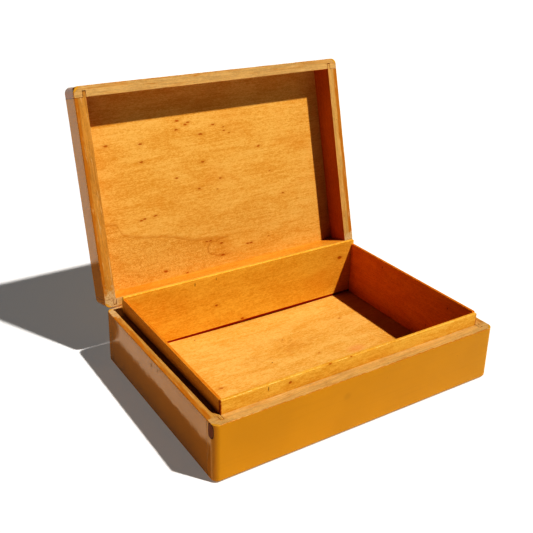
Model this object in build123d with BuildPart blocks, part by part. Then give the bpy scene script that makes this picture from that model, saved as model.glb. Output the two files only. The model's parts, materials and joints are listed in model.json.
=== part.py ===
from build123d import *

import os
from dataclasses import dataclass
from functools import cache
from math import cos, radians, sin

# Wooden art supply box: an open tray with a raised thin-board liner, and a shallower
# tray hinged along the back as its lid. Millimetres. The origin is the centre of the
# underside, X runs along the length, Y runs to the back and Z is up. The lid stands
# open, resting against the stops of its two hinges.

# Box
LENGTH = 300.0
WIDTH = 212.0
BASE_HEIGHT = 54.0
LID_HEIGHT = 29.5
OPEN_ANGLE = 104.5
RIM_GAP = 0.3
CORNER_RADIUS = 6.0
BASE_EDGE_RADIUS = 3.0
LID_EDGE_RADIUS = 6.0

# Boards
SIDE_WALL = 12.0
LONG_WALL = 11.5
LID_HINGE_WALL = 8.5
BOTTOM_PANEL = 7.0
LID_PANEL = 3.0
RABBET = 4.5

# Corner joint: a barefaced tongue on each side wall, housed in the long walls
TONGUE_THICKNESS = 3.0
TONGUE_LENGTH = 5.5
GROOVE_SLACK = 0.5

# Liner, and the room that the lid leaves around it
LINER = 3.0
LINER_RISE = 12.5
BACK_LINER_RISE = 16.0
LINER_CORNER_RADIUS = 1.5
LINER_EDGE_RADIUS = 0.6
SIDE_FIT = 0.4
SWING_FIT = 0.7

# Butt hinges let into the back rims
HINGE_SPACING = 190.0
HINGE_LENGTH = 30.0
LEAF_WIDTH = 8.0
LEAF_THICKNESS = 1.0
KNUCKLE_RADIUS = 2.0
KNUCKLE_COUNT = 5
KNUCKLE_GAP = 0.2
BARREL_CLEARANCE = 0.4
LEAF_CLEARANCE = 0.3
PIN_RADIUS = 1.0
PIN_RUNNING_FIT = 0.05
PIN_HEAD_RADIUS = 1.4
PIN_HEAD = 0.6

# Countersunk hinge screws
SCREW_SPACING = 10.0
SCREW_SETBACK = 5.3
SCREW_LENGTH = 8.0
SCREW_RADIUS = 1.0
SCREW_TIP = 1.8
SCREW_TIP_ANGLE = 25.0
SCREW_HEAD_RADIUS = 1.8
SCREW_SLOT_WIDTH = 0.5
SCREW_SLOT_DEPTH = 0.35

# Derived places
PIVOT_Z = BASE_HEIGHT + RIM_GAP / 2
KNUCKLE_PITCH = HINGE_LENGTH / KNUCKLE_COUNT
SCREW_HEAD_DEPTH = SCREW_HEAD_RADIUS - SCREW_RADIUS
SCREWS_PER_LEAF = 3
HINGE_CENTRES = (-HINGE_SPACING / 2, HINGE_SPACING / 2)


@dataclass(eq=False)
class Tray:
    """A board-built tray in its own frame: panel at Z = 0, rim at Z = height."""

    frame: Plane
    height: float
    side_wall: float
    long_wall: float
    hinge_wall: float
    panel: float
    edge_radius: float
    hinge_side: int
    pin_clearance: float


def lid_frame():
    """The lid's own frame, upside down over the base and swung open about the pins."""
    angle = radians(OPEN_ANGLE)
    up_the_lid = Vector(0, -cos(angle), sin(angle))
    into_the_rim = Vector(0, -sin(angle), -cos(angle))
    pivot = Vector(0, WIDTH / 2, PIVOT_Z)
    origin = pivot + up_the_lid * (WIDTH / 2) - into_the_rim * (LID_HEIGHT + RIM_GAP / 2)
    return Plane(origin=origin, x_dir=(1, 0, 0), z_dir=into_the_rim)


BASE = Tray(
    frame=Plane.XY,
    height=BASE_HEIGHT,
    side_wall=SIDE_WALL,
    long_wall=LONG_WALL,
    hinge_wall=LONG_WALL,
    panel=BOTTOM_PANEL,
    edge_radius=BASE_EDGE_RADIUS,
    hinge_side=1,
    pin_clearance=0.0,
)
LID = Tray(
    frame=lid_frame(),
    height=LID_HEIGHT,
    side_wall=SIDE_WALL - SIDE_FIT,
    long_wall=LONG_WALL - SWING_FIT,
    hinge_wall=LID_HINGE_WALL,
    panel=LID_PANEL,
    edge_radius=LID_EDGE_RADIUS,
    hinge_side=-1,
    pin_clearance=PIN_RUNNING_FIT,
)


def wall_thickness(tray, side):
    """Thickness of the long wall on one side of the tray, which may be the hinge side."""
    return tray.hinge_wall if side == tray.hinge_side else tray.long_wall


def panel_size(tray):
    """Length and width of the panel that lies in the walls' rabbets."""
    return (
        LENGTH - 2 * (tray.side_wall - RABBET),
        WIDTH - 2 * (tray.long_wall - RABBET),
    )


def screw_places(tray):
    """Screw centres on one tray's two leaves, in the tray's own X and Y."""
    middle = (SCREWS_PER_LEAF - 1) / 2
    y = tray.hinge_side * (WIDTH / 2 - SCREW_SETBACK)
    return [
        (centre + (i - middle) * SCREW_SPACING, y)
        for centre in HINGE_CENTRES
        for i in range(SCREWS_PER_LEAF)
    ]


def barrel_plane(x):
    """A plane square to the hinge axis, with its origin on the axis at x."""
    return Plane(origin=(x, WIDTH / 2, PIVOT_Z), x_dir=(0, 1, 0), z_dir=(1, 0, 0))


@cache
def rounded_block(tray):
    """The tray's outside: a block with rounded upright corners and panel-side edges."""
    up = Axis(tray.frame.origin, tray.frame.z_dir)
    with BuildPart() as block:
        with BuildSketch(tray.frame):
            Rectangle(LENGTH, WIDTH)
        extrude(amount=tray.height)
        upright = block.edges().filter_by(up)
        panel_edges = block.faces().sort_by(up)[0].edges()
        if tray.edge_radius == CORNER_RADIUS:
            fillet(upright + panel_edges, radius=CORNER_RADIUS)
        else:
            fillet(upright, radius=CORNER_RADIUS)
            fillet(block.faces().sort_by(up)[0].edges(), radius=tray.edge_radius)
    return block.part


def cut_long_wall(tray, side):
    """A front or back wall: full length, rabbeted for the panel, grooved at its ends."""
    panel_length, panel_width = panel_size(tray)
    thickness = wall_thickness(tray, side)
    inner_y = side * (WIDTH / 2 - thickness)
    groove_x = LENGTH / 2 - tray.side_wall + TONGUE_THICKNESS / 2
    groove_depth = TONGUE_LENGTH + GROOVE_SLACK
    with BuildPart() as wall:
        with BuildSketch(tray.frame):
            with Locations((0, side * (WIDTH - thickness) / 2)):
                Rectangle(LENGTH, thickness)
        extrude(amount=tray.height)
        with BuildSketch(tray.frame):
            Rectangle(panel_length, panel_width)
        extrude(amount=tray.panel, mode=Mode.SUBTRACT)
        with BuildSketch(tray.frame.offset(tray.panel)):
            with Locations(
                (-groove_x, inner_y + side * groove_depth / 2),
                (groove_x, inner_y + side * groove_depth / 2),
            ):
                Rectangle(TONGUE_THICKNESS, groove_depth)
        extrude(amount=tray.height - tray.panel, mode=Mode.SUBTRACT)
        if side == tray.hinge_side:
            with BuildSketch(tray.frame.offset(tray.height - LEAF_THICKNESS)):
                with Locations(*[(x, side * (WIDTH - LEAF_WIDTH) / 2) for x in HINGE_CENTRES]):
                    Rectangle(HINGE_LENGTH, LEAF_WIDTH)
            extrude(amount=LEAF_THICKNESS, mode=Mode.SUBTRACT)
            for centre in HINGE_CENTRES:
                seat_half = HINGE_LENGTH / 2 + PIN_HEAD + BARREL_CLEARANCE
                with BuildSketch(barrel_plane(centre - seat_half)):
                    Circle(KNUCKLE_RADIUS + BARREL_CLEARANCE)
                extrude(amount=2 * seat_half, mode=Mode.SUBTRACT)
            with BuildSketch(tray.frame.offset(tray.height - SCREW_LENGTH)):
                with Locations(*screw_places(tray)):
                    Circle(SCREW_RADIUS)
            extrude(amount=SCREW_LENGTH, mode=Mode.SUBTRACT)
        add(rounded_block(tray), mode=Mode.INTERSECT)
    return wall.part


def cut_side_wall(tray, side):
    """A side wall: between the long walls, with a tongue at each end on its inner face."""
    low_wall = wall_thickness(tray, -1)
    high_wall = wall_thickness(tray, 1)
    clear_width = WIDTH - low_wall - high_wall
    middle = (low_wall - high_wall) / 2
    inner_x = LENGTH / 2 - tray.side_wall
    with BuildPart() as wall:
        with BuildSketch(tray.frame):
            with Locations((side * (inner_x + tray.side_wall / 2), middle)):
                Rectangle(tray.side_wall, clear_width)
        extrude(amount=tray.height)
        with BuildSketch(tray.frame.offset(tray.panel)):
            with Locations((side * (inner_x + TONGUE_THICKNESS / 2), middle)):
                Rectangle(TONGUE_THICKNESS, clear_width + 2 * TONGUE_LENGTH)
        extrude(amount=tray.height - tray.panel)
        with BuildSketch(tray.frame):
            Rectangle(*panel_size(tray))
        extrude(amount=tray.panel, mode=Mode.SUBTRACT)
        add(rounded_block(tray), mode=Mode.INTERSECT)
    return wall.part


def cut_panel(tray):
    """The flat panel that closes the tray, flush in the walls' rabbets."""
    with BuildPart() as panel:
        with BuildSketch(tray.frame):
            Rectangle(*panel_size(tray))
        extrude(amount=tray.panel)
    return panel.part


def cut_long_liner(side):
    """The front or back liner board, from the bottom panel to above the rim."""
    length = LENGTH - 2 * SIDE_WALL
    y = side * (WIDTH / 2 - LONG_WALL - LINER / 2)
    rise = BACK_LINER_RISE if side > 0 else LINER_RISE
    with BuildPart() as board:
        with BuildSketch(Plane.XY.offset(BOTTOM_PANEL)):
            with Locations((0, y)):
                Rectangle(length, LINER)
        extrude(amount=BASE_HEIGHT + rise - BOTTOM_PANEL)
        top = board.faces().sort_by(Axis.Z)[-1]
        fillet(top.edges().filter_by(Axis.Y), radius=LINER_CORNER_RADIUS)
        top = board.faces().sort_by(Axis.Z)[-1]
        fillet(top.edges().filter_by(Axis.X), radius=LINER_EDGE_RADIUS)
    return board.part


def cut_side_liner(side):
    """A side liner board, between the long ones."""
    x = side * (LENGTH / 2 - SIDE_WALL - LINER / 2)
    with BuildPart() as board:
        with BuildSketch(Plane.XY.offset(BOTTOM_PANEL)):
            with Locations((x, 0)):
                Rectangle(LINER, WIDTH - 2 * (LONG_WALL + LINER))
        extrude(amount=BASE_HEIGHT + LINER_RISE - BOTTOM_PANEL)
        top = board.faces().sort_by(Axis.Z)[-1]
        fillet(top.edges().filter_by(Axis.Y), radius=LINER_EDGE_RADIUS)
    return board.part


def cut_leaf(tray, centre, knuckles):
    """One hinge leaf: a plate flush with the rim, its knuckles, and countersunk holes."""
    side = tray.hinge_side
    plate_edge = KNUCKLE_RADIUS + LEAF_CLEARANCE
    plate_width = LEAF_WIDTH - plate_edge
    clear_places = [p for p in screw_places(tray) if abs(p[0] - centre) < HINGE_LENGTH / 2]
    with BuildPart() as leaf:
        with BuildSketch(tray.frame.offset(tray.height - LEAF_THICKNESS)):
            with Locations((centre, side * (WIDTH / 2 - plate_edge - plate_width / 2))):
                Rectangle(HINGE_LENGTH, plate_width)
        extrude(amount=LEAF_THICKNESS)
        for i in knuckles:
            start = centre - HINGE_LENGTH / 2 + i * KNUCKLE_PITCH + KNUCKLE_GAP / 2
            length = KNUCKLE_PITCH - KNUCKLE_GAP
            with BuildSketch(tray.frame.offset(tray.height - LEAF_THICKNESS)):
                with Locations((start + length / 2, side * (WIDTH / 2 - LEAF_WIDTH / 4))):
                    Rectangle(length, LEAF_WIDTH / 2)
            extrude(amount=LEAF_THICKNESS)
            with BuildSketch(barrel_plane(start)):
                Circle(KNUCKLE_RADIUS)
            extrude(amount=length)
        with BuildSketch(barrel_plane(centre - HINGE_LENGTH / 2)):
            Circle(PIN_RADIUS + tray.pin_clearance)
        extrude(amount=HINGE_LENGTH, mode=Mode.SUBTRACT)
        with Locations(tray.frame.offset(tray.height)):
            with Locations(*clear_places):
                CounterSinkHole(
                    radius=SCREW_RADIUS,
                    counter_sink_radius=SCREW_HEAD_RADIUS,
                    depth=LEAF_THICKNESS,
                    counter_sink_angle=90,
                )
    return leaf.part


def cut_pin(centre):
    """A hinge pin with a low head at each end, fixed in the base leaf's knuckles."""
    half = HINGE_LENGTH / 2
    with BuildPart() as pin:
        with BuildSketch(barrel_plane(centre - half)):
            Circle(PIN_RADIUS)
        extrude(amount=HINGE_LENGTH)
        for start in (centre - half - PIN_HEAD, centre + half):
            with BuildSketch(barrel_plane(start)):
                Circle(PIN_HEAD_RADIUS)
            extrude(amount=PIN_HEAD)
        ends = pin.faces().filter_by(Axis.X).sort_by(Axis.X)
        fillet(ends[0].edges() + ends[-1].edges(), radius=PIN_HEAD / 2)
    return pin.part


def turn_screws(tray):
    """All the countersunk screws that hold one tray's two hinge leaves."""
    rim = tray.frame.offset(tray.height)
    with BuildPart() as screws:
        with BuildSketch(rim):
            with Locations(*screw_places(tray)):
                Circle(SCREW_HEAD_RADIUS)
        extrude(amount=-SCREW_HEAD_DEPTH, taper=45)
        with BuildSketch(rim):
            with Locations(*screw_places(tray)):
                Circle(SCREW_RADIUS)
        extrude(amount=-(SCREW_LENGTH - SCREW_TIP))
        with BuildSketch(rim.offset(-(SCREW_LENGTH - SCREW_TIP))):
            with Locations(*screw_places(tray)):
                Circle(SCREW_RADIUS)
        extrude(amount=-SCREW_TIP, taper=SCREW_TIP_ANGLE)
        with BuildSketch(rim.offset(-SCREW_SLOT_DEPTH)):
            with Locations(*screw_places(tray)):
                Rectangle(2 * SCREW_HEAD_RADIUS, SCREW_SLOT_WIDTH)
        extrude(amount=SCREW_SLOT_DEPTH, mode=Mode.SUBTRACT)
    return screws.part


def build_parts():
    """Every piece of the box, by name."""
    base_knuckles = range(0, KNUCKLE_COUNT, 2)
    lid_knuckles = range(1, KNUCKLE_COUNT, 2)
    parts = {
        "base_front_wall": cut_long_wall(BASE, -1),
        "base_back_wall": cut_long_wall(BASE, 1),
        "base_left_wall": cut_side_wall(BASE, -1),
        "base_right_wall": cut_side_wall(BASE, 1),
        "bottom_panel": cut_panel(BASE),
        "liner_front": cut_long_liner(-1),
        "liner_back": cut_long_liner(1),
        "liner_left": cut_side_liner(-1),
        "liner_right": cut_side_liner(1),
        "hinge_base_screws": turn_screws(BASE),
        "lid_front_wall": cut_long_wall(LID, 1),
        "lid_back_wall": cut_long_wall(LID, -1),
        "lid_left_wall": cut_side_wall(LID, -1),
        "lid_right_wall": cut_side_wall(LID, 1),
        "lid_panel": cut_panel(LID),
        "hinge_lid_screws": turn_screws(LID),
    }
    for name, centre in zip(("left", "right"), HINGE_CENTRES):
        parts[f"hinge_{name}_base_leaf"] = cut_leaf(BASE, centre, base_knuckles)
        parts[f"hinge_{name}_lid_leaf"] = cut_leaf(LID, centre, lid_knuckles)
        parts[f"hinge_{name}_pin"] = cut_pin(centre)
    return parts


os.makedirs("parts", exist_ok=True)
for part_name, part in build_parts().items():
    part.label = part_name
    export_step(part, f"parts/{part_name}.step")
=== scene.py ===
import json
from math import cos, radians, sin

import bmesh
import bpy
from mathutils import Matrix, Vector, noise


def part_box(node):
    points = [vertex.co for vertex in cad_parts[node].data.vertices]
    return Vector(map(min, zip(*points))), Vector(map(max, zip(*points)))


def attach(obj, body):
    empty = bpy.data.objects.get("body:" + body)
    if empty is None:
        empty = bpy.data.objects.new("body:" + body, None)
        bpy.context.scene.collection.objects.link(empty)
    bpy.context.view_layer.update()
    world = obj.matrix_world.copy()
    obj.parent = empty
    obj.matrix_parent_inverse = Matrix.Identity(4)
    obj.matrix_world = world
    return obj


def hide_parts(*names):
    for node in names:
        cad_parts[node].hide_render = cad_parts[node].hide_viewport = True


# Open wooden art supply box. Metres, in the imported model's frame: the origin is the
# centre of the underside, X runs along the length, Y to the back and Z up. Shader
# lengths are in millimetres of each tray's own frame, with its panel at Z = 0.

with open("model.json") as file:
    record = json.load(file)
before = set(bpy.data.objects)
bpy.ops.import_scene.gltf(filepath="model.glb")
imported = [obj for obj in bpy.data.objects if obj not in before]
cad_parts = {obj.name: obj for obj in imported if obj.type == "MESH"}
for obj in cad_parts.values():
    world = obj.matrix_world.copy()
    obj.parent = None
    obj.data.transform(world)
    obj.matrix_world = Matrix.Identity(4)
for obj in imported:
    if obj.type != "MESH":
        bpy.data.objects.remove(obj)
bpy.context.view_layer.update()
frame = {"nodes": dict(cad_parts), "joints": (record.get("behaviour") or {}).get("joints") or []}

MM = 0.001
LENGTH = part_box("base_front_wall")[1].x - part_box("base_front_wall")[0].x
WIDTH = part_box("base_back_wall")[1].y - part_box("base_front_wall")[0].y
CORNER_RADIUS = 6 * MM
BASE_EDGE_RADIUS = 3 * MM
LID_EDGE_RADIUS = 6 * MM

# The housed joint that shows on the rim, in millimetres.
TONGUE_THICKNESS = 3.0
TONGUE_LENGTH = 5.5

# Where the hinges are cut in: their length, their distance from the middle along X, and
# how far round them the wood stays crisp.
HINGE_LENGTH = 30 * MM
HINGE_X = 95 * MM
HINGE_MARGIN = 3 * MM
HINGE_SEAT_WIDTH = 11 * MM
HINGE_SEAT_DEPTH = 10 * MM

# How wide the sharp edges are eased: the rim's outer and inner edge, the walls' other
# edges, the panels and the liners.
RIM_EASE = 0.6 * MM
INNER_RIM_EASE = 0.3 * MM
WALL_EASE = 0.12 * MM
PANEL_EASE = 0.08 * MM
LINER_EASE = 0.2 * MM

# How deep the wear goes: on the outer faces, on the rim and on the rim's outer edge.
FACE_WEAR = 0.07 * MM
RIM_WEAR = 0.06 * MM
EDGE_WEAR = 0.22 * MM

# How far apart the walls are cut for their wear, along and up, and the sagging panel.
WEAR_PITCH = 4 * MM
WEAR_PITCH_UP = 4.5 * MM
SAG_PITCH = 6 * MM

# The sagging panel's top, in millimetres: lowest at SAG_X by SAG_DEPTH, rising with the
# square of the distance along X to SAG_RISE at most, and level from SAG_EDGE outward
# after a slope of SAG_FADE.
SAG_X = 25
SAG_DEPTH = 1.2
SAG_CURVE = 0.000125
SAG_RISE = 0.5
SAG_EDGE = (139.5, 97.0)
SAG_FADE = (4, 3)

# How far above the floor a liner's foot line of painted shade reaches, in millimetres.
FOOT_SHADE_HEIGHT = 0.3
BACK_FOOT_SHADE_HEIGHT = 2.3


# ---------------------------------------------------------------- trays

def lid_matrix():
    """The lid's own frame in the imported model's: Y runs up the open lid, Z to its rim."""
    joint = frame["joints"][0]
    angle = radians(joint["range_deg"][1])
    pivot = Vector(joint["pos_m"])
    up = Vector((0, -cos(angle), sin(angle)))
    into = Vector((0, -sin(angle), -cos(angle)))
    vertices = frame["nodes"]["lid_left_wall"].data.vertices
    floor = min(v.co.dot(into) for v in vertices)
    origin = up * (pivot.dot(up) + WIDTH / 2) + into * floor
    axes = Matrix((Vector((1, 0, 0)), up, into)).transposed().to_4x4()
    return Matrix.Translation(origin) @ axes


class Tray:
    """One of the two board trays: its frame, and its sizes in that frame."""

    def __init__(self, name, matrix, hinge_side, edge_radius):
        self.name = name
        self.matrix = matrix
        self.hinge_side = hinge_side
        self.edge_radius = edge_radius
        low, high = self.extent(f"{name}_left_wall")
        self.height = high.z
        self.side_wall = high.x - low.x
        low, high = self.extent(f"{name}_front_wall")
        self.free_wall = high.y - low.y
        low, high = self.extent(f"{name}_back_wall")
        self.hinge_wall = high.y - low.y

    def wall(self, side):
        """Thickness of the long wall on the tray's -Y or +Y side."""
        return self.hinge_wall if side == self.hinge_side else self.free_wall

    def extent(self, node):
        """Lowest and highest corner of a CAD node in the tray's own frame."""
        inverse = self.matrix.inverted()
        points = [inverse @ v.co for v in frame["nodes"][node].data.vertices]
        low = Vector(min(p[i] for p in points) for i in range(3))
        high = Vector(max(p[i] for p in points) for i in range(3))
        return low, high


BASE = Tray("base", Matrix.Identity(4), 1, BASE_EDGE_RADIUS)
LID = Tray("lid", lid_matrix(), -1, LID_EDGE_RADIUS)


# ---------------------------------------------------------------- shader nodes

WARM_GLOSS = (1.0, 0.86, 0.62)


class Net:
    """One material's node tree, with short calls for the nodes it is made of."""

    def __init__(self, name):
        self.material = bpy.data.materials.new(name)
        self.material.use_nodes = True
        self.tree = self.material.node_tree
        self.tree.nodes.clear()
        self.output = self.tree.nodes.new("ShaderNodeOutputMaterial")

    def node(self, kind, inputs=None, **settings):
        made = self.tree.nodes.new(kind)
        for key, value in settings.items():
            setattr(made, key, value)
        for key, value in (inputs or {}).items():
            self.put(made.inputs[key], value)
        return made

    def put(self, socket, value):
        if isinstance(value, bpy.types.NodeSocket):
            self.tree.links.new(value, socket)
        else:
            socket.default_value = value

    def math(self, operation, *values):
        made = self.node("ShaderNodeMath", operation=operation)
        for socket, value in zip(made.inputs, values):
            self.put(socket, value)
        return made.outputs[0]

    def add(self, a, b):
        return self.math("ADD", a, b)

    def times(self, a, b):
        return self.math("MULTIPLY", a, b)

    def vector(self, operation, *values):
        made = self.node("ShaderNodeVectorMath", operation=operation)
        for socket, value in zip(made.inputs, values):
            self.put(socket, value)
        return made.outputs["Value" if operation in ("LENGTH", "DOT_PRODUCT") else "Vector"]

    def place(self, tray):
        """The point in the tray's own frame, in millimetres."""
        point = self.node("ShaderNodeTexCoord").outputs["Object"]
        point = self.vector("SUBTRACT", point, tuple(tray.matrix.translation))
        axes = [tuple(tray.matrix.col[i].xyz * 1000) for i in range(3)]
        return self.join(*(self.vector("DOT_PRODUCT", point, axis) for axis in axes))

    def split(self, vector):
        made = self.node("ShaderNodeSeparateXYZ", {0: vector})
        return made.outputs[0], made.outputs[1], made.outputs[2]

    def join(self, x, y, z):
        return self.node("ShaderNodeCombineXYZ", {0: x, 1: y, 2: z}).outputs[0]

    def stretch(self, vector, scale, shift=(0.0, 0.0, 0.0)):
        scaled = self.vector("MULTIPLY", vector, scale)
        return self.vector("ADD", scaled, shift)

    def noise(self, vector, scale, detail=2.0, rough=0.5, warp=0.0):
        inputs = {"Vector": vector, "Scale": scale, "Detail": detail, "Roughness": rough}
        made = self.node("ShaderNodeTexNoise", inputs)
        made.inputs["Distortion"].default_value = warp
        return made.outputs["Fac"]

    def cells(self, vector, scale, spread=1.0):
        """Distance to the nearest of scattered points, and that point's random colour."""
        made = self.node("ShaderNodeTexVoronoi", {"Vector": vector, "Scale": scale})
        made.inputs["Randomness"].default_value = spread
        return made.outputs["Distance"], made.outputs["Color"]

    def fade(self, value, start, end, low=0.0, high=1.0):
        """Goes smoothly from low to high as value goes from start to end."""
        inputs = {"Value": value, 1: start, 2: end, 3: low, 4: high}
        return self.node("ShaderNodeMapRange", inputs, interpolation_type="SMOOTHSTEP").outputs[0]

    def curve(self, value, points):
        """A smooth curve of value through points that go from 0 to 1 both ways."""
        made = self.node("ShaderNodeFloatCurve", {"Value": value})
        line = made.mapping.curves[0]
        while len(line.points) < len(points):
            line.points.new(0.5, 0.5)
        for knot, place in zip(line.points, points):
            knot.location = place
        made.mapping.update()
        return made.outputs[0]

    def largest(self, values):
        found = values[0]
        for value in values[1:]:
            found = self.math("MAXIMUM", found, value)
        return found

    def mix(self, factor, a, b, blend="MIX"):
        made = self.node("ShaderNodeMix", data_type="RGBA", blend_type=blend)
        self.put(made.inputs[0], factor)
        self.put(made.inputs[6], a if isinstance(a, bpy.types.NodeSocket) else (*a, 1.0))
        self.put(made.inputs[7], b if isinstance(b, bpy.types.NodeSocket) else (*b, 1.0))
        return made.outputs[2]

    def finish(self, colour, rough, height, depth, tint=WARM_GLOSS, **constants):
        """The surface shader. Depth is the bump's height for a value of 1, in metres."""
        bump = self.node("ShaderNodeBump", {"Height": height, "Distance": depth})
        inputs = {"Base Color": colour, "Roughness": rough, "Normal": bump.outputs[0]}
        shader = self.node("ShaderNodeBsdfPrincipled", inputs)
        for key, value in constants.items():
            shader.inputs[key.replace("_", " ")].default_value = value
        shader.inputs["Specular Tint"].default_value = (*tint, 1.0)
        self.put(self.output.inputs["Surface"], shader.outputs[0])
        return self.material


# ---------------------------------------------------------------- materials

# Base colours, linear.
HONEY = (0.711, 0.450, 0.149)
AMBER = (0.603, 0.315, 0.061)
RED_AMBER = (0.576, 0.243, 0.027)
DEEP_AMBER = (0.513, 0.234, 0.032)
KNOT = (0.400, 0.125, 0.009)
OCHRE = (0.545, 0.254, 0.000)
YELLOW_OCHRE = (0.612, 0.333, 0.036)
EDGE_OCHRE = (0.477, 0.180, 0.006)
BURNT_OCHRE = (0.396, 0.135, 0.003)
BARE = (0.612, 0.391, 0.158)
STAINED = (0.450, 0.184, 0.018)
SANDED = (0.594, 0.432, 0.243)
SCAR = (0.378, 0.135, 0.072)
DIRT = (0.090, 0.034, 0.012)
# Painted shade for the dark foot line where a liner meets the floor.
FOOT_SHADE_RED = (0.216, 0.000, 0.000)
GLINT = (0.774, 0.495, 0.180)
PORE = (0.420, 0.180, 0.018)
CURL = (0.774, 0.522, 0.216)
GROWTH_LINE = (0.480, 0.205, 0.020)
GROWTH_LOOP = (0.460, 0.190, 0.018)
PINK_SMUDGE = (0.666, 0.270, 0.108)
DARK_CREST = (0.180, 0.054, 0.000)
# Pale top arris of the liners: worn bare wood, and a painted highlight.
WORN_ARRIS_HIGHLIGHT = (0.756, 0.540, 0.306)
RED_END = (0.324, 0.054, 0.000)
PALE_FIBRE = (0.648, 0.450, 0.234)
OPEN_JOINT = (0.180, 0.072, 0.018)
CHIP_RIND = (0.050, 0.018, 0.011)
PALE_STREAK = (0.540, 0.306, 0.126)
PATCH_RIND = (0.054, 0.020, 0.011)
END_PATCH = (0.396, 0.149, 0.063)
# The lacquer at the box's ends is multiplied by this: painted shade.
SIDE_SHADE_TONE = (1.08, 0.87, 1.0)

# The refractive indices, and the tint of the front wall's reflections.
VARNISH_IOR = 1.42
LACQUER_IOR = 1.74
FRONT_IOR = 1.66
FRONT_GLOSS = (1.0, 0.81, 0.42)

# The bump's height for a relief of 1, in metres.
VARNISH_BUMP = 0.00006
RIM_BUMP = 0.00010
LACQUER_BUMP = 0.00030
METAL_BUMP = 0.00002


def darker(colour, share):
    """The colour with each channel times the share."""
    return tuple(c * share for c in colour)


def grained(net, point, axis, long, cross, seed):
    """The point scaled by one factor along the grain and another across it."""
    scale = [cross, cross, cross]
    scale["xyz".index(axis)] = long
    return net.stretch(point, tuple(scale), (seed * 37.1, seed * 11.7, seed * 5.3))


def wood_figure(net, point, axis, seed):
    """Fibres, ripples and clouds of a close-grained pale wood, each about 0 to 1."""
    fibres = net.noise(grained(net, point, axis, 0.030, 0.85, seed), 1.0, 3.0, 0.6, 0.3)
    ripple = net.noise(grained(net, point, axis, 0.27, 0.72, seed), 1.0, 3.0, 0.68, 1.3)
    clouds = net.noise(grained(net, point, axis, 0.016, 0.045, seed), 1.0, 3.0, 0.55, 0.9)
    return (
        net.fade(fibres, 0.33, 0.67),
        net.fade(ripple, 0.38, 0.62),
        net.fade(clouds, 0.32, 0.68),
    )


def nearest(net, point, places, radii):
    """Distance to the nearest of some places, in their own sizes. A place is x, y, z
    and a size, and radii are its shape for a size of 1."""
    found = None
    for x, y, z, size in places:
        away = net.vector("SUBTRACT", point, (x, y, z))
        away = net.vector("MULTIPLY", away, tuple(1.0 / (r * size) for r in radii))
        away = net.vector("LENGTH", away)
        found = away if found is None else net.math("MINIMUM", found, away)
    return found


def dab(net, point, place, radii, ragged=0.0, start=0.6, end=1.0, square=False):
    """1 inside a rounded or nearly square patch, 0 outside it. Ragged is added to the
    distance."""
    away = net.vector("SUBTRACT", point, place)
    away = net.vector("MULTIPLY", away, tuple(1.0 / r for r in radii))
    if square:
        away = net.vector("MULTIPLY", away, away)
    away = net.add(net.vector("LENGTH", away), ragged)
    return net.fade(away, start, end, 1.0, 0.0)


def flecks(net, point, pitch, size, share):
    """Scattered specks: 1 inside a speck. Share is the part of the cells that have one."""
    distance, colour = net.cells(point, 1.0 / pitch)
    chosen = net.math("LESS_THAN", net.split(colour)[0], share)
    return net.times(net.fade(distance, size / pitch * 0.4, size / pitch, 1.0, 0.0), chosen)


def line_at(net, value, place, width):
    """1 on a thin line where value equals place."""
    away = net.math("ABSOLUTE", net.math("SUBTRACT", value, place))
    return net.fade(away, width * 0.35, width, 1.0, 0.0)


def growth_line(net, x, y):
    """The lid panel's one strong growth line, and 1 below it."""
    path = [
        (-138, -31), (-127, -32), (-120, -33), (-116, -37), (-114, -42), (-108, -47),
        (-90, -51.5), (-66, -55.5), (-48, -61.5), (-37, -65), (-22, -67), (2, -69), (20, -66),
    ]
    points = [((px + 138) / 158, (py + 75) / 50) for px, py in path]
    along = net.math("MULTIPLY_ADD", x, 1 / 158, 138 / 158)
    level = net.math("MULTIPLY_ADD", net.curve(along, points), 50.0, -75.0)
    below = net.math("SUBTRACT", level, y)
    ends = net.fade(x, -8.0, 12.0, 1.0, 0.0)
    line = net.fade(below, -5.0, -0.2)
    line = net.times(line, net.fade(below, -0.2, 0.5, 1.0, 0.0))
    return net.times(line, ends), net.times(net.fade(below, -0.3, 0.6), ends)


def varnished_wood(name, tray, axis, seed, tone=(1.0, 1.0, 1.0), detail=None):
    """Clear honey varnish over pale wood. Detail adds a board's own marks to it: it is
    called with the nodes, the point and the colour so far, and returns the colour."""
    net = Net(name)
    point = net.place(tray)
    fibres, ripple, clouds = wood_figure(net, point, axis, seed)
    blend = net.add(net.times(ripple, 0.46), net.times(fibres, 0.24))
    blend = net.add(blend, net.times(clouds, 0.30))
    colour = net.mix(net.fade(blend, 0.10, 0.92), HONEY, AMBER)
    warm = net.noise(grained(net, point, axis, 0.010, 0.022, seed + 40), 1.0, 2.0, 0.5, 1.2)
    colour = net.mix(net.fade(warm, 0.52, 0.78, 0.0, 0.25), colour, RED_AMBER)
    glints = net.noise(grained(net, point, axis, 0.45, 1.3, seed + 9), 1.0, 1.0, 0.5)
    colour = net.mix(net.fade(glints, 0.62, 0.74, 0.0, 0.30), colour, GLINT)
    lines = net.noise(grained(net, point, axis, 0.055, 1.7, seed), 1.0, 2.0, 0.5)
    colour = net.mix(net.fade(lines, 0.62, 0.74, 0.0, 0.28), colour, PORE)
    if detail:
        colour = detail(net, point, colour)
    colour = net.mix(net.times(flecks(net, point, 31.0, 0.6, 0.3), 0.6), colour, DIRT)
    colour = net.mix(1.0, colour, tone, "MULTIPLY")
    relief = net.add(net.times(ripple, 0.55), net.times(fibres, 0.30))
    rough = net.fade(blend, 0.2, 0.9, 0.34, 0.48)
    gloss = {"IOR": VARNISH_IOR, "Specular_IOR_Level": 0.15}
    return net.finish(colour, rough, relief, VARNISH_BUMP, **gloss)


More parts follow.
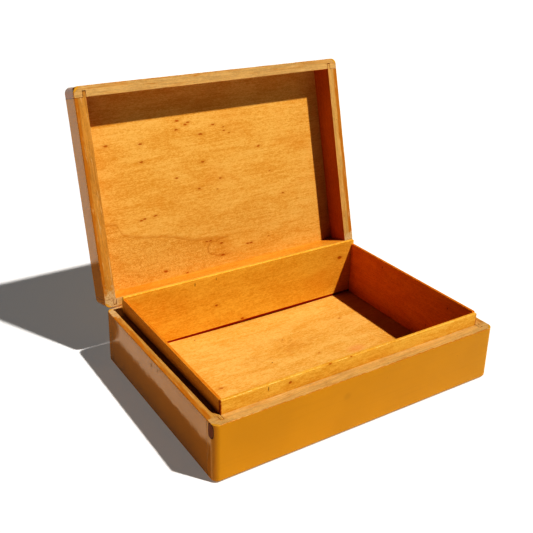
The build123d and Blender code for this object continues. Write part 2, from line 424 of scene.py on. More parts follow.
def knotty(net, point, colour, places, strength=0.92):
    """Small pin knots, a little stretched along X, each with a faint smear."""
    wander = net.noise(point, 0.45, 2.0, 0.6)
    shift = net.join(net.times(wander, 2.4), net.times(wander, -1.4), 0.0)
    moved = net.vector("ADD", point, net.vector("ADD", shift, (-1.2, 0.7, 0.0)))
    distance = nearest(net, moved, places, (2.5, 1.0, 1.6))
    colour = net.mix(net.fade(distance, 1.0, 3.0, 0.30, 0.0), colour, DEEP_AMBER)
    return net.mix(net.fade(distance, 0.45, 1.1, strength, 0.0), colour, KNOT)


def lid_panel_detail(net, point, colour):
    """The lid panel's growth lines, curly grain and pin knots."""
    x, y = net.split(point)[:2]
    line, below = growth_line(net, x, y)
    curl = net.noise(grained(net, point, "x", 0.42, 0.62, 77), 1.0, 3.0, 0.65, 2.2)
    rougher = net.times(net.fade(curl, 0.48, 0.60), below)
    colour = net.mix(net.times(rougher, 0.55), colour, DEEP_AMBER)
    bright = net.times(net.fade(curl, 0.44, 0.34), below)
    colour = net.mix(net.times(bright, 0.55), colour, CURL)
    colour = net.mix(net.times(line, 0.42), colour, GROWTH_LINE)
    wander = net.times(net.noise(point, 0.12, 2.0, 0.5), 0.7)
    loop = nearest(net, point, [(-1.0, -78.0, 3.0, 1.0)], (19.0, 9.5, 9.0))
    loop = line_at(net, net.add(loop, wander), 1.35, 0.10)
    loop = net.times(loop, net.fade(x, 2.0, 9.0, 1.0, 0.0))
    colour = net.mix(net.times(loop, 0.50), colour, GROWTH_LOOP)
    return knotty(net, point, colour, [(kx, ky, 3.0, r) for kx, ky, r in LID_KNOTS])


def floor_detail(net, point, colour):
    """The floor's stains, faint arcs, knots and specks. They are placed on the CAD
    floor's level, so the sag doesn't move them."""
    x, y = net.split(point)[:2]
    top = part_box("bottom_panel")[1].z / MM
    point = net.join(x, y, top)
    pink = dab(net, point, (66.0, -10.0, top), (15.0, 9.0, 9.0), 0.0, 0.2, 1.0)
    colour = net.mix(net.times(pink, 0.40), colour, PINK_SMUDGE)
    smudge = net.noise(grained(net, point, "x", 0.035, 0.07, 88), 1.0, 4.0, 0.65, 1.0)
    near = dab(net, point, (0.0, 27.0, top), (75.0, 26.0, 26.0), 0.0, 0.2, 1.0)
    smudge = net.times(net.fade(smudge, 0.46, 0.66), near)
    colour = net.mix(net.times(smudge, 0.55), colour, DEEP_AMBER)
    away = nearest(net, point, [(132.0, 12.0, top, 1.0)], (1.0, 1.0, 1.0))
    for radius in (27.0, 31.5, 36.0):
        arc = net.times(line_at(net, away, radius, 0.55), net.fade(y, -2.0, 4.0, 0.45, 0.0))
        colour = net.mix(arc, colour, darker(AMBER, 0.65))
    colour = knotty(net, point, colour, [(kx, ky, top, r) for kx, ky, r in FLOOR_KNOTS], 0.7)
    dots = nearest(net, point, [(kx, ky, top, r) for kx, ky, r in FLOOR_DOTS], (1.0, 0.8, 1.0))
    return net.mix(net.fade(dots, 0.6, 1.1, 0.85, 0.0), colour, DIRT)


def liner_detail(side, foot, low, high):
    """A liner's foot line of painted shade, its top arris painted pale as worn wood and as
    a painted highlight, and its own marks. Low and high are the corners of the CAD
    board, and the foot line reaches up to foot."""
    start, end = LINER_SLOPES.get(side, (0.0, 0.0))
    rise = (end - start) / (high.y - low.y)

    def detail(net, point, colour):
        x, y, z = net.split(point)
        long = side in ("front", "back")
        across = net.math("ABSOLUTE", y if long else x)
        level = net.math("MULTIPLY_ADD", y, rise, start - rise * low.y - high.z)
        level = net.add(level, z)
        faces = sorted(abs(v) for v in ((low.y, high.y) if long else (low.x, high.x)))
        pale_arris_face = faces[0] if side in ("back", "right") else faces[1]
        from_arris = net.math("ABSOLUTE", net.math("SUBTRACT", across, pale_arris_face))
        crest = net.times(net.fade(level, -1.0, -0.2), CREST_SHADES.get(side, 0.0))
        colour = net.mix(crest, colour, DARK_CREST)
        # The top arris on the side that faces front or left is paler: worn bare wood, and a
        # painted highlight where the rounded edge catches the light.
        broken = net.fade(net.noise(point, 0.55, 3.0, 0.65), 0.47, 0.60)
        arris = net.times(net.fade(from_arris, 0.25, 0.85, 1.0, 0.0), broken)
        flat = net.times(net.fade(level, -0.75, -0.15), arris)
        colour = net.mix(net.times(flat, 0.70), colour, WORN_ARRIS_HIGHLIGHT)
        if side == "front":
            end_grain = net.fade(net.math("ABSOLUTE", x), high.x - 1.3, high.x - 0.5)
            end_grain = net.times(end_grain, net.fade(broken, 0.0, 1.0, 0.9, 0.5))
            colour = net.mix(end_grain, colour, RED_END)
        # Painted shade: a dark red line along the liner's foot, where it meets the floor.
        edge = net.fade(z, foot - 0.25, foot + 0.15, 0.93, 0.0)
        colour = net.mix(edge, colour, FOOT_SHADE_RED)
        if side in LINER_KNOTS:
            colour = knotty(net, point, colour, LINER_KNOTS[side])
        if side in LINER_TICKS:
            ticks = nearest(net, point, LINER_TICKS[side], (0.7, 0.7, 2.4))
            colour = net.mix(net.fade(ticks, 0.5, 1.1, 0.6, 0.0), colour, DIRT)
        return colour
    return detail


def outline_fields(net, point):
    """The distance from the middle along X, the height, the depth inside the box's
    rounded outline, and how far into a corner's arc."""
    x, y, z = net.split(point)
    x, y = net.math("ABSOLUTE", x), net.math("ABSOLUTE", y)
    radius = CORNER_RADIUS / MM
    qx = net.math("SUBTRACT", x, LENGTH / 2 / MM - radius)
    qy = net.math("SUBTRACT", y, WIDTH / 2 / MM - radius)
    px, py = net.math("MAXIMUM", qx, 0.0), net.math("MAXIMUM", qy, 0.0)
    outside = net.vector("LENGTH", net.join(px, py, 0.0))
    inside = net.math("MINIMUM", net.math("MAXIMUM", qx, qy), 0.0)
    depth = net.math("SUBTRACT", net.math("SUBTRACT", radius, outside), inside)
    corner = net.fade(net.times(px, py), 0.6, 6.0)
    return x, z, depth, corner


def rim_joints(net, tray, x, signed_y):
    """Where the housed tongue joint shows on the rim."""
    inner = (LENGTH / 2 - tray.side_wall) / MM
    beyond = net.math("GREATER_THAN", x, inner + TONGUE_THICKNESS)
    within = net.math("GREATER_THAN", x, inner - 0.3)
    lines = []
    for side in (-1, 1):
        joint = (WIDTH / 2 - tray.wall(side)) / MM
        here = net.times(signed_y, side)
        past = net.math("GREATER_THAN", here, joint)
        short = net.math("LESS_THAN", here, joint + TONGUE_LENGTH)
        cheek = net.largest([
            line_at(net, x, inner, 0.40),
            line_at(net, x, inner + TONGUE_THICKNESS, 0.30),
        ])
        end = net.times(line_at(net, here, joint + TONGUE_LENGTH + 0.3, 0.5), within)
        lines.append(net.times(line_at(net, here, joint, 0.36), beyond))
        lines.append(net.times(net.times(cheek, past), short))
        lines.append(net.times(end, net.math("SUBTRACT", 1.0, beyond)))
    return net.largest(lines)


def bare_rim(name, tray, axis, seed, stain):
    """The rubbed rim: lacquer worn through to pale wood, dirty at the joints. Stain is
    the depths where the orange band starts and ends, its strength and the rim's tone."""
    net = Net(name)
    point = net.place(tray)
    x, _, depth, corner = outline_fields(net, point)
    signed_y = net.split(point)[1]
    fibres, ripple, clouds = wood_figure(net, point, axis, seed)
    blend = net.add(net.times(fibres, 0.45), net.times(ripple, 0.30))
    blend = net.add(blend, net.times(clouds, 0.25))
    colour = net.mix(net.fade(blend, 0.15, 0.90), BARE, darker(BARE, 0.74))
    blotch = net.noise(grained(net, point, axis, 0.022, 0.20, seed), 1.0, 4.0, 0.65, 0.9)
    start, end, amount, shade = stain
    colour = net.mix(1.0, colour, shade, "MULTIPLY")
    by_depth = net.fade(depth, start, end, 1.0, 0.0)
    soaked = net.fade(net.add(net.times(by_depth, amount), blotch), 0.52, 0.82)
    colour = net.mix(soaked, colour, STAINED)
    pale = net.noise(grained(net, point, axis, 0.040, 0.55, seed + 21), 1.0, 4.0, 0.65, 0.5)
    colour = net.mix(net.fade(pale, 0.56, 0.68, 0.0, 0.60), colour, PALE_FIBRE)
    hinge = net.times(signed_y, tray.hinge_side)
    patch = net.add(hinge, net.times(net.noise(point, 0.12, 3.0, 0.6), 26.0))
    patch = net.fade(patch, WIDTH / 2 / MM - 6.0, WIDTH / 2 / MM - 1.0)
    patch = net.times(patch, net.fade(x, LENGTH / 2 / MM - 15.0, LENGTH / 2 / MM - 12.0))
    speckle = net.fade(net.noise(point, 0.85, 3.0, 0.7), 0.50, 0.66)
    sanded = net.mix(net.times(speckle, 0.75), SANDED, darker(STAINED, 0.6))
    colour = net.mix(net.times(patch, 0.9), colour, sanded)
    scuff = net.noise(grained(net, point, axis, 0.09, 0.7, seed + 3), 1.0, 3.0, 0.7)
    colour = net.mix(net.fade(scuff, 0.60, 0.72, 0.0, 0.45), colour, darker(STAINED, 0.55))
    colour = net.mix(net.times(flecks(net, point, 11.0, 0.8, 0.30), 0.55), colour, DIRT)
    ragged = net.noise(point, 0.22, 4.0, 0.65)
    width = net.add(net.fade(ragged, 0.35, 0.65, 0.05, 0.7), net.times(corner, 1.7))
    lacquered = net.fade(net.math("SUBTRACT", depth, width), 0.0, 0.3, 1.0, 0.0)
    skin = net.mix(corner, EDGE_OCHRE, YELLOW_OCHRE)
    colour = net.mix(net.times(lacquered, 0.85), colour, skin)
    broken = net.fade(net.noise(point, 0.35, 2.0, 0.6), 0.36, 0.58, 0.05, 0.75)
    joints = net.times(rim_joints(net, tray, x, signed_y), broken)
    colour = net.mix(joints, colour, OPEN_JOINT)
    relief = net.add(net.times(ripple, 0.4), net.times(fibres, 0.5))
    relief = net.math("SUBTRACT", relief, net.times(joints, 1.2))
    relief = net.add(relief, net.times(lacquered, 0.6))
    rough = net.fade(lacquered, 0.0, 1.0, 0.55, 0.26)
    return net.finish(colour, rough, relief, RIM_BUMP, IOR=VARNISH_IOR)


def lacquer_blemishes(net, point, colour, node):
    """The marks that one board's lacquer has, by node. Returns the colour and the part
    where the gloss is gone."""
    shape = net.noise(point, 0.6, 3.0, 0.6)
    dull = 0.0
    if node == "base_front_wall":
        blotch = dab(net, point, (-21.8, -106.0, 37.0), (6.0, 6.0, 5.0), 0.0, 0.2, 1.0)
        colour = net.mix(net.times(blotch, 0.22), colour, darker(OCHRE, 0.6))
        ragged = net.times(shape, 0.9)
        place, radii = (-149.0, -100.0, 47.2), (6.0, 3.2, 6.6)
        chip = dab(net, point, place, radii, ragged, 1.18, 1.28, True)
        rind = dab(net, point, place, radii, ragged, 1.42, 1.56, True)
        wood = net.noise(grained(net, point, "z", 0.10, 0.9, 5), 1.0, 3.0, 0.6)
        colour = net.mix(net.times(rind, 0.9), colour, CHIP_RIND)
        colour = net.mix(chip, colour, net.mix(wood, darker(SCAR, 0.55), SCAR))
        y, z = net.split(point)[1], net.split(point)[2]
        # A pale streak slanting down below the chip.
        sheared = net.join(-150.0, net.add(y, net.times(net.add(z, -25.0), 0.19)), z)
        streak = dab(net, sheared, (-150.0, -96.2, 24.0), (3.0, 1.5, 15.0), ragged, 1.0, 1.35)
        colour = net.mix(net.times(streak, 0.35), colour, PALE_STREAK)
        dull = rind
    if node == "base_left_wall":
        places = [(-150, 5, 47.9, 1.6), (-150, -7.4, 48.6, 1.3), (-150, -12.5, 52, 1.2)]
        marks = nearest(net, point, places, (1.0, 1.0, 1.7))
        marks = net.fade(net.add(marks, net.times(shape, 0.7)), 0.9, 1.4, 0.55, 0.0)
        colour = net.mix(marks, colour, darker(OCHRE, 0.35))
        smear = dab(net, point, (-150.0, 94.0, 33.0), (3.0, 2.6, 5.0), shape, 1.2, 1.5)
        colour = net.mix(net.times(smear, 0.6), colour, darker(OCHRE, 0.45))
        dull = net.largest([marks, smear])
    if node == "lid_front_wall":
        ragged = net.times(shape, 0.35)
        face = dab(net, point, (-150.0, 100.6, 15.5), (6.0, 5.6, 14.5), ragged, 1.10, 1.16)
        rind = dab(net, point, (-150.0, 100.6, 15.5), (6.0, 5.6, 14.5), ragged, 1.18, 1.26)
        colour = net.mix(net.times(rind, 0.8), colour, PATCH_RIND)
        colour = net.mix(face, colour, END_PATCH)
    return colour, dull


def lacquer(name, tray, seed, node=None):
    """Glossy ochre lacquer, nearly even, rubbed at the edges."""
    net = Net(name)
    point = net.place(tray)
    x, z, _, corner = outline_fields(net, point)
    shifted = net.stretch(point, (1.0, 1.0, 1.0), (seed * 31.0, seed * 17.0, seed * 7.0))
    cloud = net.noise(shifted, 0.018, 2.0, 0.5)
    colour = net.mix(net.fade(cloud, 0.30, 0.70), OCHRE, darker(OCHRE, 0.94))
    grain = net.noise(grained(net, point, "x" if seed % 2 else "y", 0.01, 0.45, seed), 1.0, 3.0)
    colour = net.mix(net.fade(grain, 0.50, 0.75, 0.0, 0.12), colour, darker(OCHRE, 0.72))
    specks = flecks(net, shifted, 17.0, 0.5, 0.35)
    colour = net.mix(net.times(specks, 0.6), colour, darker(OCHRE, 0.25))
    ragged = net.noise(point, 0.20, 4.0, 0.65)
    below = net.math("SUBTRACT", tray.height / MM, z)
    edge = net.math("SUBTRACT", below, net.fade(ragged, 0.35, 0.70, 0.1, 1.3))
    rubbed = net.fade(edge, 0.0, 0.5, 1.0, 0.0)
    colour = net.mix(net.times(rubbed, 0.7), colour, net.mix(corner, EDGE_OCHRE, YELLOW_OCHRE))
    if tray is BASE:
        # Darker ochre along the base's lowest few millimetres.
        bottom_band = net.add(net.times(z, 0.5), net.times(ragged, 2.2))
        colour = net.mix(net.fade(bottom_band, 1.0, 1.6, 0.5, 0.0), colour, BURNT_OCHRE)
    beyond = net.math("GREATER_THAN", x, LENGTH / 2 / MM - 3.0)
    signed_y = net.split(point)[1]
    joints = [side * (WIDTH / 2 - tray.wall(side)) / MM for side in (-1, 1)]
    seam = net.largest([line_at(net, signed_y, joint, 0.35) for joint in joints])
    broken = net.fade(net.noise(point, 0.30, 3.0, 0.6), 0.40, 0.60, 0.10, 0.75)
    seam = net.times(net.times(seam, beyond), broken)
    colour = net.mix(seam, colour, darker(OCHRE, 0.18))
    # The ends are redder and a little darker than the front and back: painted shade.
    ends = net.fade(x, LENGTH / 2 / MM - 4.5, LENGTH / 2 / MM - 0.5)
    colour = net.mix(ends, colour, net.mix(1.0, colour, SIDE_SHADE_TONE, "MULTIPLY"))
    colour, dull = lacquer_blemishes(net, point, colour, node)
    waves = net.noise(shifted, 0.045, 2.0, 0.5)
    peel = net.noise(shifted, 0.30, 1.0, 0.5)
    relief = net.add(waves, net.times(peel, 0.04))
    relief = net.math("SUBTRACT", relief, net.times(seam, 0.25))
    rough = net.fade(cloud, 0.3, 0.7, 0.06, 0.11)
    rough = net.math("MAXIMUM", rough, net.times(rubbed, 0.35))
    rough = net.math("MAXIMUM", rough, net.times(dull, 0.85))
    if node == "base_front_wall":
        return net.finish(colour, rough, relief, LACQUER_BUMP, FRONT_GLOSS, IOR=FRONT_IOR)
    return net.finish(colour, rough, relief, LACQUER_BUMP, IOR=LACQUER_IOR)


def metal(name, colour, dull, rough):
    """Worn, slightly tarnished metal."""
    net = Net(name)
    point = net.place(BASE)
    cloud = net.noise(point, 0.35, 4.0, 0.6, 0.4)
    scratch = net.noise(net.stretch(point, (0.4, 4.0, 4.0)), 1.0, 2.0, 0.6)
    blend = net.fade(net.add(net.times(cloud, 0.7), net.times(scratch, 0.3)), 0.42, 0.62)
    shade = net.mix(blend, colour, dull)
    roughness = net.fade(cloud, 0.3, 0.7, rough, rough + 0.22)
    return net.finish(shade, roughness, scratch, METAL_BUMP, Metallic=1.0)


# ---------------------------------------------------------------- boards

def outline_depth(x, y):
    """How far a point lies inside the box's rounded outline, seen along its Z."""
    qx = abs(x) - (LENGTH / 2 - CORNER_RADIUS)
    qy = abs(y) - (WIDTH / 2 - CORNER_RADIUS)
    outside = Vector((max(qx, 0.0), max(qy, 0.0))).length
    return CORNER_RADIUS - outside - min(max(qx, qy), 0.0)


def near_hinge(tray, p):
    """True beside the hinge seats, where the cuts stay crisp."""
    beside = abs(abs(p.x) - HINGE_X) < HINGE_LENGTH / 2 + HINGE_MARGIN
    behind = tray.hinge_side * p.y > WIDTH / 2 - HINGE_SEAT_WIDTH
    return beside and behind and p.z > tray.height - HINGE_SEAT_DEPTH


def edge_width(tray, edge):
    """How wide an edge of a wall is eased, in metres, or 0 where it stays crisp."""
    if not edge.is_manifold or edge.calc_face_angle(0.0) < radians(40):
        return 0.0
    if not edge.is_convex:
        return 0.0
    a, b = (v.co for v in edge.verts)
    middle = (a + b) / 2
    if near_hinge(tray, a) or near_hinge(tray, b):
        return 0.0
    if min(a.z, b.z) > tray.height - 0.01 * MM:
        outer = outline_depth(middle.x, middle.y) < 0.1 * MM
        return RIM_EASE if outer else INNER_RIM_EASE
    return WALL_EASE


def welded(node, matrix):
    """A CAD node's mesh in a tray's own frame, with its seams closed and flats merged."""
    shape = bmesh.new()
    shape.from_mesh(node.data)
    shape.transform(matrix.inverted())
    bmesh.ops.remove_doubles(shape, verts=shape.verts, dist=0.002 * MM)
    bmesh.ops.dissolve_limit(
        shape, angle_limit=radians(0.5), verts=shape.verts, edges=shape.edges
    )
    return shape


def applied(shape, name, modifiers):
    """A bmesh through a list of modifiers, as a new bmesh."""
    mesh = bpy.data.meshes.new(name)
    shape.to_mesh(mesh)
    shape.free()
    holder = bpy.data.objects.new(name, mesh)
    bpy.context.scene.collection.objects.link(holder)
    for kind, settings in modifiers:
        modifier = holder.modifiers.new(kind.lower(), kind)
        for key, value in settings.items():
            setattr(modifier, key, value)
    bpy.context.view_layer.update()
    graph = bpy.context.evaluated_depsgraph_get()
    made = bmesh.new()
    made.from_mesh(bpy.data.meshes.new_from_object(holder.evaluated_get(graph)))
    bpy.data.objects.remove(holder)
    return made


def eased(shape, name, width_of, segments=3):
    """The bmesh with each sharp edge rounded to its own width, RIM_EASE at most."""
    layer = shape.edges.layers.float.new("bevel_weight_edge")
    for edge in shape.edges:
        edge[layer] = width_of(edge) / RIM_EASE
    settings = {
        "width": RIM_EASE,
        "segments": segments,
        "limit_method": "WEIGHT",
        "use_clamp_overlap": False,
    }
    return applied(shape, name, [("BEVEL", settings)])


def sliced(shape, axis, places):
    """Cuts the bmesh's faces by planes square to an axis, without opening it."""
    normal = Vector((0, 0, 0))
    normal[axis] = 1.0
    for place in places:
        point = normal * place
        geometry = shape.verts[:] + shape.edges[:] + shape.faces[:]
        bmesh.ops.bisect_plane(shape, geom=geometry, dist=1e-7, plane_co=point, plane_no=normal)


def steps(low, high, pitch):
    """Places between low and high, evenly spaced at about the pitch."""
    count = max(1, round((high - low) / pitch))
    return [low + (high - low) * i / count for i in range(1, count)]


def worn(tray, shape):
    """Sinks the outer faces, the rim and its outer edge unevenly."""
    shape.normal_update()
    moves = []
    for v in shape.verts:
        p, n = v.co, v.normal
        depth = outline_depth(p.x, p.y)
        below = tray.height - p.z
        at = p * 1000 + Vector((0, 0, 500 if tray.name == "lid" else 0))
        wave = 0.5 + 0.5 * noise.noise(at * 0.045)
        sink = 0.0
        if depth < 1.2 * MM or p.z < 0.5 * MM:
            sink += FACE_WEAR * wave
        if below < 0.4 * MM:
            sink += RIM_WEAR * (0.5 + 0.5 * noise.noise(at * 0.11))
        if depth < 1.0 * MM and below < 1.0 * MM:
            sink += EDGE_WEAR * max(0.0, noise.noise(at * 0.16) + 0.15)
        moves.append((v, n * sink))
    for v, move in moves:
        if not near_hinge(tray, v.co):
            v.co -= move


def smooth(shape, limit=38):
    """Smooth shading except at edges sharper than the limit."""
    for face in shape.faces:
        face.smooth = True
    for edge in shape.edges:
        edge.smooth = not edge.is_manifold or edge.calc_face_angle(0.0) < radians(limit)


def as_piece(shape, name, tray, node, materials, material_of):
    """The bmesh, made in its tray's frame, as an object riding on the tray's body."""
    smooth(shape)
    for face in shape.faces:
        face.material_index = material_of(face.calc_center_median(), face.normal)
    shape.transform(tray.matrix)
    mesh = bpy.data.meshes.new(name)
    shape.to_mesh(mesh)
    shape.free()
    for material in materials:
        mesh.materials.append(material)
    piece = bpy.data.objects.new(name, mesh)
    bpy.context.scene.collection.objects.link(piece)
    weighted = piece.modifiers.new("weighted_normals", "WEIGHTED_NORMAL")
    weighted.keep_sharp = True
    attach(piece, tray.name)
    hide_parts(node)
    return piece


def wall(tray, side, seed, stain):
    """One wall of a tray, with eased and worn edges, lacquer, varnish and bare rim."""
    node = f"{tray.name}_{side}_wall"
    long = side in ("front", "back")
    axis = "x" if long else "y"
    shape = welded(frame["nodes"][node], tray.matrix)
    shape = eased(shape, node, lambda edge: edge_width(tray, edge))
    if long:
        sliced(shape, 0, steps(-LENGTH / 2, LENGTH / 2, WEAR_PITCH))
    else:
        sliced(shape, 1, steps(-WIDTH / 2, WIDTH / 2, WEAR_PITCH))
    sliced(shape, 2, steps(0, tray.height, WEAR_PITCH_UP))
    worn(tray, shape)
    shape.normal_update()

    def material_of(c, n):
        outward = Vector((0.0, c.y, 0.0) if long else (c.x, 0.0, 0.0)).normalized()
        if n.z > 0.6 and c.z > tray.height - 1.3 * MM:
            return 2
        if outline_depth(c.x, c.y) < 0.8 * MM or c.z < 0.5 * MM:
            return 0
        if c.z < tray.edge_radius and (n.dot(outward) > 0.1 or n.z < -0.1):
            return 0
        return 1

    # The inside varnish takes the wall's tone, which on the lid's front, right and left walls is
    # painted shade.
    skins = [
        lacquer(f"{node}_lacquer", tray, seed, node),
        varnished_wood(f"{node}_varnish", tray, axis, seed, WALL_TONES_AND_SHADE.get(node, (1, 0.9, 0.7))),
        bare_rim(f"{node}_rim", tray, axis, seed, stain),
    ]
    return as_piece(shape, f"{node}_board", tray, node, skins, material_of)


def sloped(shape, slope):
    """Lowers the top of a board that runs along Y by one amount at each end."""
    top = max(v.co.z for v in shape.verts)
    low, high = min(v.co.y for v in shape.verts), max(v.co.y for v in shape.verts)
    for v in shape.verts:
        if v.co.z > top - 3 * MM:
            share = (v.co.y - low) / (high - low)
            v.co.z -= MM * (slope[0] + (slope[1] - slope[0]) * share)


def sagged(shape):
    """Bows the top of the base's bottom panel down along its length, as thin plywood
    does, and leaves it level under the liners and walls."""
    sliced(shape, 0, steps(-LENGTH / 2, LENGTH / 2, SAG_PITCH))
    sliced(shape, 1, steps(-WIDTH / 2, WIDTH / 2, SAG_PITCH))
    top = max(v.co.z for v in shape.verts)
    for v in shape.verts:
        if v.co.z > top - 0.5 * MM:
            x, y = v.co.x / MM, v.co.y / MM
            bow = min(SAG_RISE, SAG_CURVE * (x - SAG_X) ** 2 - SAG_DEPTH)
            share_x = (SAG_EDGE[0] - abs(x)) / SAG_FADE[0]
            share_y = (SAG_EDGE[1] - abs(y)) / SAG_FADE[1]
            v.co.z += bow * max(0.0, min(1.0, share_x, share_y)) * MM


def flat_board(node, tray, skins, ease, slope=None):
    """A panel or liner board with eased edges. A second skin is for its underside, and
    a slope is how much lower the top is at each end. The bottom panel also sags."""
    def width_of(edge):
        if edge.is_manifold and edge.is_convex and edge.calc_face_angle(0.0) > radians(40):
            return ease
        return 0.0

    shape = eased(welded(frame["nodes"][node], tray.matrix), node, width_of)
    if slope:
        sloped(shape, slope)
    if node == "bottom_panel":
        sagged(shape)
    shape.normal_update()
    below = len(skins) - 1
    return as_piece(
        shape, f"{node}_board", tray, node, skins,
        lambda _, normal: below if normal.z < -0.5 else 0,
    )


# Pin knots in the lid panel, as x, y and size in the lid's frame.
LID_KNOTS = [
    (-38, 61, 1.1), (-26, 58, 1.0), (-29, 56, 1.0), (-40, 52, 1.0), (3, 52, 1.0),
    (15, 48, 0.6), (15, 44, 0.7), (21, 41, 0.5), (-13, 44, 1.1), (-117, 46, 1.1),
    (-81, 43, 1.0), (55, 22, 1.0), (-82, 25, 1.0), (-14, 15, 1.0), (66, -7, 0.6),
    (-46, 3, 0.8), (4, -5, 0.8), (-22, -12, 0.9), (-1, -16, 0.5), (80, -34, 0.7),
    (-75, -31, 1.0), (-91, -33, 0.9), (-87, -32, 0.9), (-21, -69, 0.9), (-17, -69, 1.0),
    (-4, -74, 1.0), (28, -81, 0.9), (32, -81, 1.1), (-4, -87, 1.2), (-72, -90, 1.1),
    (-48, -97, 0.8), (55, -78, 0.4),
]
# Knots and dark specks in the floor, as x, y and size.
FLOOR_KNOTS = [(29, 2, 0.8), (88, 47, 0.9), (-86, -4, 1.4)]
FLOOR_DOTS = [(-67, 83, 0.8), (11, 41, 0.7), (-21, 10, 0.8)]
# What the colour of a board's varnish is multiplied by. The side liners' tones are redder:
# painted shade.
LINER_TONES_AND_SHADE = {
    "front": (1.07, 1.05, 0.78), "back": (1.15, 1.12, 0.68),
    "left": (1.14, 0.83, 0.37), "right": (1.30, 0.82, 0.26),
}
# What the colour of a wall's inside varnish is multiplied by. The lid's front, right and left
# walls are darker and redder: painted shade.
WALL_TONES_AND_SHADE = {
    "lid_front_wall": (0.88, 0.50, 0.18), "lid_right_wall": (0.92, 0.50, 0.18),
    "lid_left_wall": (0.92, 0.56, 0.24), "lid_back_wall": (1.05, 0.92, 0.60),
}
# Knots and ticks in the liners, as x, y, z and size.
LINER_KNOTS = {
    "back": [(119, 91.5, 52.5, 1.4), (-37.5, 91.5, 34.8, 0.8), (-6, 91.5, 11, 1.0)],
    "front": [(-73, -94.5, 61.6, 0.9), (-33, -94.5, 66.5, 0.9), (-11, -94.5, 66.5, 0.7)],
    "right": [(135, 38, 59, 0.9), (135, -60, 55.7, 0.7), (135, -34, 24.4, 0.7)],
}
LINER_TICKS = {
    "back": [(-61.6, 91.5, 64.5, 1.0), (-37.5, 91.5, 65, 0.8)],
    "front": [(-94, -94.5, 62.5, 1.0)],
}
# How much lower a side liner's top is at its -Y end and at its +Y end, in millimetres.
LINER_SLOPES = {"left": (0.3, -1.8), "right": (-0.9, 1.2)}
# How dark the top of a side liner is.
CREST_SHADES = {"left": 0.20, "right": 0.45}


def build_boards():
    """Every wooden piece, each in place of its CAD node."""
    plain = (1.0, 1.0, 1.0)
    stains = {
        "base_front_wall": (1.0, 9.0, -0.05, plain),
        "base_back_wall": (0.0, 6.0, 0.15, plain),
        "base_left_wall": (3.0, 6.5, 0.26, (0.95, 0.88, 0.68)),
        "base_right_wall": (2.0, 8.0, 0.15, plain),
        "lid_front_wall": (0.5, 5.0, 0.05, plain),
        "lid_back_wall": (0.0, 5.0, 0.25, plain),
        "lid_left_wall": (1.9, 4.4, 0.42, (0.92, 0.74, 0.42)),
        "lid_right_wall": (3.0, 6.5, 0.30, (0.98, 0.94, 0.82)),
    }
    seed = 1
    for tray in (BASE, LID):
        for side in ("front", "back", "left", "right"):
            wall(tray, side, seed, stains[f"{tray.name}_{side}_wall"])
            seed += 1
    for tray, node, tone, detail in (
        (BASE, "bottom_panel", (1.0, 1.05, 1.2), floor_detail),
        (LID, "lid_panel", (1.0, 1.0, 1.0), lid_panel_detail),
    ):
        inside = varnished_wood(f"{node}_inside", tray, "x", seed, tone, detail)
        outside = lacquer(f"{node}_outside", tray, seed)
        flat_board(node, tray, [inside, outside], PANEL_EASE)
        seed += 1
    for side in ("front", "back", "left", "right"):
        axis = "x" if side in ("front", "back") else "y"
        node = f"liner_{side}"
        low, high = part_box(node)
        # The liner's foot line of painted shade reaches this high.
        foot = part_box("bottom_panel")[1].z / MM
        foot += BACK_FOOT_SHADE_HEIGHT if side == "back" else FOOT_SHADE_HEIGHT
        detail = liner_detail(side, foot, low / MM, high / MM)
        # A side liner's tone is redder than the others: painted shade.
        tone = LINER_TONES_AND_SHADE[side]
        skin = varnished_wood(f"{node}_varnish", BASE, axis, seed, tone, detail)
        flat_board(node, BASE, [skin], LINER_EASE, LINER_SLOPES.get(side))
        seed += 1


def dress_hinges():
    """Metal for the CAD nodes that stay visible."""
    brass = metal("aged_brass", (0.72, 0.48, 0.17), (0.30, 0.18, 0.06), 0.26)
    steel = metal("aged_steel", (0.52, 0.50, 0.47), (0.22, 0.19, 0.16), 0.30)
    for name, node in frame["nodes"].items():
        if name.startswith("hinge_"):
            worked = steel if name.endswith(("pin", "screws")) else brass
            for i in range(len(node.material_slots)):
                node.material_slots[i].material = worked


# ---------------------------------------------------------------- studio

def build_camera():
    """The photograph's viewpoint: a short telephoto, a little above the open box."""
    data = bpy.data.cameras.new("camera")
    data.lens = 54.965
    data.sensor_width = 36.0
    data.shift_y = -0.1
    data.clip_end = 60.0
    camera = bpy.data.objects.new("camera", data)
    bpy.context.scene.collection.objects.link(camera)
    turn = Matrix.Rotation(radians(-33.066), 4, "Z")
    tilt = Matrix.Rotation(radians(90 - 22.0), 4, "X")
    roll = Matrix.Rotation(radians(1.454), 4, "Z")
    place = Matrix.Translation((-0.39732, -0.55080, 0.43457))
    camera.matrix_world = place @ turn @ tilt @ roll
    bpy.context.scene.camera = camera


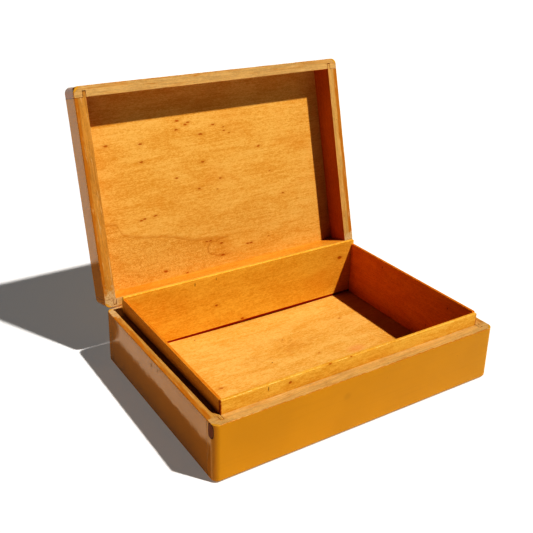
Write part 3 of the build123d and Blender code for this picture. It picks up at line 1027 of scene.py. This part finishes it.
def plain_white(name, albedo, glow):
    """A flat white stage surface that shines a little by itself."""
    net = Net(name)
    shader = net.node("ShaderNodeBsdfPrincipled")
    shader.inputs["Base Color"].default_value = (albedo, albedo, albedo, 1.0)
    shader.inputs["Roughness"].default_value = 1.0
    shader.inputs["Specular IOR Level"].default_value = 0.0
    shader.inputs["Emission Color"].default_value = (1.0, 1.0, 1.0, 1.0)
    shader.inputs["Emission Strength"].default_value = glow
    net.put(net.output.inputs["Surface"], shader.outputs[0])
    return net.material


def build_stage():
    """A wide pale floor just below the box, and a low pale wall round it, far away."""
    reach, floor_level, wall_top = 12.0, -0.0003, 1.1
    square = [(-reach, -reach), (reach, -reach), (reach, reach), (-reach, reach)]
    corners = [(x, y, floor_level) for x, y in square]
    rim = [(x, y, wall_top) for x, y in square]
    sides = [(i, (i + 1) % 4, (i + 1) % 4 + 4, i + 4) for i in range(4)]
    for name, faces, albedo, glow in (
        ("studio_floor", [(0, 1, 2, 3)], 0.66, 0.13),
        ("studio_wall", sides, 0.0, 0.62),
    ):
        mesh = bpy.data.meshes.new(name)
        mesh.from_pydata(corners + rim, [], faces)
        mesh.materials.append(plain_white(name, albedo, glow))
        stage = bpy.data.objects.new(name, mesh)
        bpy.context.scene.collection.objects.link(stage)


def build_lights():
    """One lamp from the front right, high up, and a dim even sky."""
    data = bpy.data.lights.new("key", "SUN")
    data.energy = 2.85
    data.angle = radians(2)
    data.color = (1.0, 0.98, 0.95)
    key = bpy.data.objects.new("key", data)
    bpy.context.scene.collection.objects.link(key)
    travel = Vector((-0.39, 0.525, -1.0))
    key.rotation_mode = "QUATERNION"
    key.rotation_quaternion = travel.to_track_quat("-Z", "Y")
    world = bpy.data.worlds.new("studio")
    world.use_nodes = True
    sky = world.node_tree.nodes["Background"]
    sky.inputs["Color"].default_value = (1.0, 1.0, 1.0, 1.0)
    sky.inputs["Strength"].default_value = 0.008
    bpy.context.scene.world = world


build_camera()
build_stage()
build_lights()
build_boards()
dress_hinges()

scene = bpy.context.scene
scene.view_settings.view_transform = "Standard"
scene.view_settings.look = "Very High Contrast"
